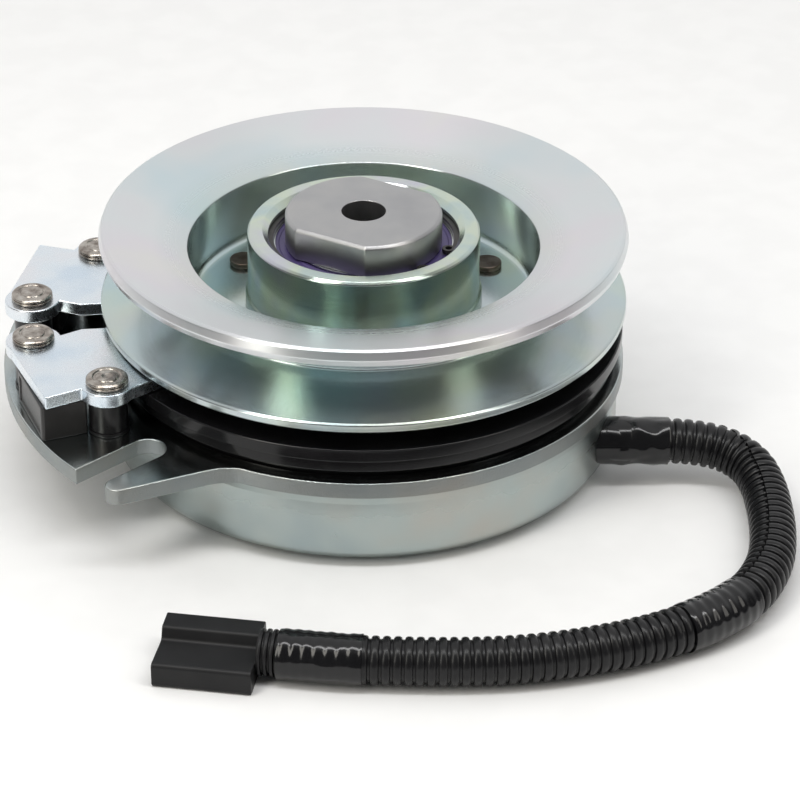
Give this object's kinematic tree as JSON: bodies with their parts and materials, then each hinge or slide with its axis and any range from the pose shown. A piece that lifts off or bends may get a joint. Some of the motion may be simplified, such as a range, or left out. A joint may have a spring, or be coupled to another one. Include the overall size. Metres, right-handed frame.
{
  "type": "electromagnetic clutch",
  "caption": "Electromagnetic clutch for a belt drive: coil in a zinc cup with a torque arm and brake plates, keyed hub, V pulley on a bearing, and a conduit-covered lead with a plug.",
  "frame": {"origin": "on the shaft axis, at the open end of the crankshaft bore, level with the underside of the field cup", "axes": "+Z along the shaft from the crankshaft bore to the boss; -X along the torque arm; -Y the side of the torque slot and the lead"},
  "size_m": [0.2214, 0.2141, 0.0743],
  "materials": {
    "zinc_cup": "bright zinc plate over steel, matt on the drawn walls",
    "zinc_turned": "bright zinc plate over a turned surface",
    "zinc_plate": "bright zinc plate over stamped steel",
    "black_iron": "satin black phosphate",
    "sintered_steel": "bead-blasted grey steel",
    "bearing_steel": "ground bearing steel",
    "seal_rubber": "dark violet seal rubber",
    "rivet_nickel": "nickel-plated rivet",
    "spring_steel": "blued spring steel",
    "magnet_black": "black ferrite",
    "black_plastic": "moulded black plastic",
    "conduit_black": "black split conduit",
    "shrink_black": "glossy black shrink sleeve",
    "bobbin_nylon": "natural nylon",
    "copper": "enamelled copper wire",
    "potting": "black epoxy",
    "brass_blade": "tinned brass"
  },
  "bodies": {
    "field": {"field_cup": "zinc_cup", "torque_plate": "zinc_cup", "inner_pole": "sintered_steel", "coil_bobbin": "bobbin_nylon", "coil_winding": "copper", "potting_ring": "potting", "field_bearing_outer": "bearing_steel", "brake_plate_front": "zinc_plate", "brake_plate_rear": "zinc_plate", "brake_block_front": "magnet_black", "brake_block_rear": "magnet_black", "brake_rivets": "rivet_nickel", "brake_spacers": "black_iron", "brake_washers": "black_iron", "lead_bush": "shrink_black", "exit_sleeve": "shrink_black", "lead_conduit": "conduit_black", "middle_sleeve": "shrink_black", "end_sleeve": "shrink_black", "plug_housing": "black_plastic", "plug_blades": "brass_blade"},
    "rotor": {"rotor": "black_iron", "sleeve_ring": "spring_steel", "drive_hub": "sintered_steel", "hub_spacer": "sintered_steel", "field_bearing_inner": "bearing_steel", "bearing_inner_race": "bearing_steel"},
    "field_bearing_cage": {"field_bearing_cage": "spring_steel", "field_bearing_balls": "bearing_steel"},
    "pulley": {"pulley": "zinc_turned", "bearing_housing": "zinc_turned", "bearing_outer_race": "bearing_steel", "retaining_ring": "spring_steel", "seal_top": "seal_rubber", "seal_bottom": "seal_rubber", "leaf_springs": "spring_steel", "pulley_rivets": "rivet_nickel"},
    "pulley_bearing_cage": {"bearing_cage": "spring_steel", "bearing_balls": "bearing_steel"},
    "armature": {"armature": "black_iron", "armature_rivets": "rivet_nickel", "spring_pads": "spring_steel"}
  },
  "joints": [
    {"name": "rotor_spin", "type": "hinge", "parent": "field", "child": "rotor", "pos_m": [0, 0, 0.0115], "axis": [0, 0, 1], "continuous": true},
    {"name": "field_cage_spin", "type": "hinge", "parent": "field", "child": "field_bearing_cage", "pos_m": [0, 0, 0.0115], "axis": [0, 0, 1], "continuous": true},
    {"name": "pulley_spin", "type": "hinge", "parent": "rotor", "child": "pulley", "pos_m": [0, 0, 0.0545], "axis": [0, 0, 1], "continuous": true},
    {"name": "pulley_cage_spin", "type": "hinge", "parent": "rotor", "child": "pulley_bearing_cage", "pos_m": [0, 0, 0.0545], "axis": [0, 0, 1], "continuous": true},
    {"name": "armature_engage", "type": "slide", "parent": "pulley", "child": "armature", "axis": [0, 0, -1], "range_m": [0, 0.00045], "deforming": ["leaf_springs"]}
  ],
  "couplings": [
    {"joint": "field_cage_spin", "follows": "rotor_spin", "ratio": 0.4287},
    {"joint": "pulley_cage_spin", "follows": "pulley_spin", "ratio": 0.5608}
  ]
}
